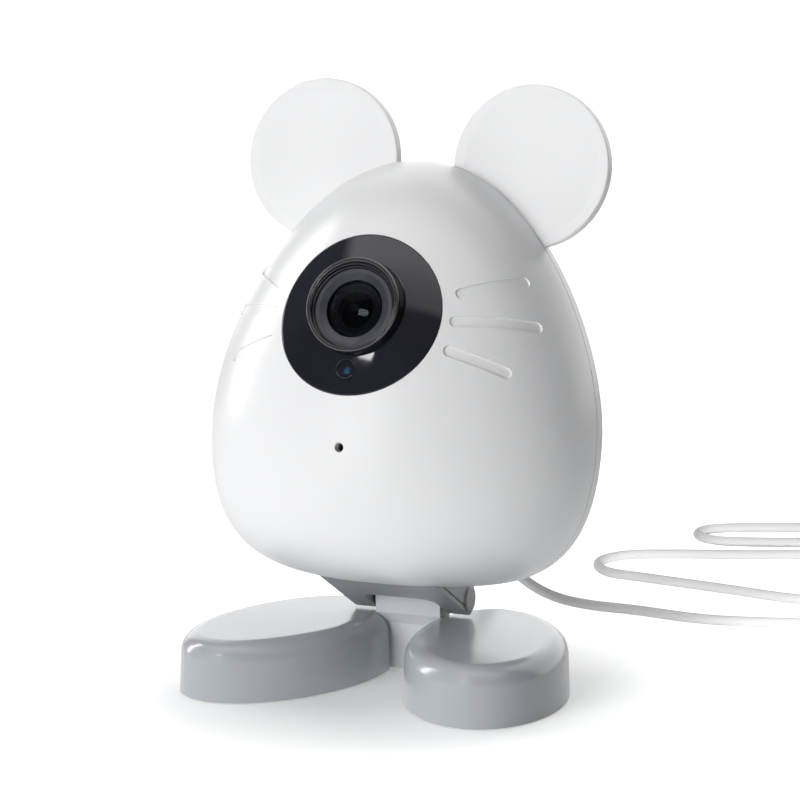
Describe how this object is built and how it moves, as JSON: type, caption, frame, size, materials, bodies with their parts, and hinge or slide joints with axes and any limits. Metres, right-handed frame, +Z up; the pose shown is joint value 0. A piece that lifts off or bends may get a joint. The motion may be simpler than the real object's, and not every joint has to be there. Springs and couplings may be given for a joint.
{
  "type": "pet camera",
  "caption": "Mouse-shaped indoor pet camera: egg-shaped head with round ears, whisker grooves and a lens eye, tilting on a hinged stand with two oval feet, with a coiled USB power cord.",
  "frame": {"origin": "on the floor, under the middle of the two feet", "axes": "+Z up, -Y the way the camera looks, +X to the right of someone facing the lens"},
  "size_m": [0.1774, 0.2849, 0.1294],
  "materials": {
    "shell_white": "satin moulded",
    "bezel_black": "polished",
    "dark_window": "polished",
    "barrel_black": "fine satin",
    "optical_glass": "coated",
    "filter_frame": "polished",
    "lamp_lens": "polished",
    "chip_dark": "matt",
    "circuit_board": "satin lacquer",
    "can_metal": "bright plated",
    "screw_steel": "zinc plated",
    "pin_steel": "ground",
    "soft_rubber": "matt",
    "button_grey": "matt",
    "antenna_film": "satin",
    "ribbon_film": "satin",
    "speaker_black": "matt",
    "bracket_grey": "satin moulded",
    "bridge_grey": "satin moulded",
    "foot_grey": "satin moulded",
    "plate_grey": "matt",
    "weight_iron": "rough",
    "plug_white": "satin",
    "cord_white": "satin",
    "tie_black": "matt"
  },
  "bodies": {
    "base": {"right_foot": "foot_grey", "left_foot": "foot_grey", "right_base_plate": "plate_grey", "left_base_plate": "plate_grey", "right_foot_weight": "weight_iron", "left_foot_weight": "weight_iron", "base_plate_screws": "screw_steel", "foot_pads": "soft_rubber", "stand_bridge": "bridge_grey", "power_cord": "cord_white", "cord_coil": "cord_white", "cord_tie": "tie_black", "cord_tail": "cord_white", "second_plug": "plug_white", "second_plug_shell": "can_metal"},
    "head": {"front_shell": "shell_white", "back_cover": "shell_white", "case_screws": "screw_steel", "lens_bezel": "bezel_black", "sensor_window": "dark_window", "lens_barrel": "barrel_black", "front_glass": "optical_glass", "lens_elements": "optical_glass", "lens_spacers": "barrel_black", "lens_holder": "barrel_black", "image_sensor": "chip_dark", "sensor_board": "circuit_board", "sensor_board_screws": "screw_steel", "lamp_board": "circuit_board", "infrared_lamps": "lamp_lens", "light_sensor": "chip_dark", "mic_boot": "soft_rubber", "microphone": "can_metal", "main_board": "circuit_board", "main_board_screws": "screw_steel", "shield_can": "can_metal", "power_socket": "can_metal", "reset_switch": "chip_dark", "antenna": "antenna_film", "camera_ribbon": "ribbon_film", "speaker_gasket": "soft_rubber", "speaker": "speaker_black", "hinge_bracket": "bracket_grey", "bracket_screws": "screw_steel", "hinge_pin": "pin_steel", "friction_washers": "soft_rubber", "pin_caps": "bracket_grey", "power_plug": "plug_white", "plug_tongue": "can_metal", "strain_relief": "plug_white"},
    "reset": {"reset_button": "button_grey"},
    "filter": {"ir_cut_filter": "filter_frame"}
  },
  "joints": [
    {"name": "head_tilt", "type": "hinge", "parent": "base", "child": "head", "pos_m": [0, 0.0148, 0.017], "axis": [1, 0, 0], "range_deg": [-35, 20], "deforming": ["power_cord"]},
    {"name": "reset_press", "type": "slide", "parent": "head", "child": "reset", "axis": [0, -0.9848, 0.1736], "range_m": [0, 0.0007], "stiffness_N_per_m": 600},
    {"name": "filter_shift", "type": "slide", "parent": "head", "child": "filter", "axis": [1, 0, 0], "range_m": [0, 0.0054]}
  ]
}
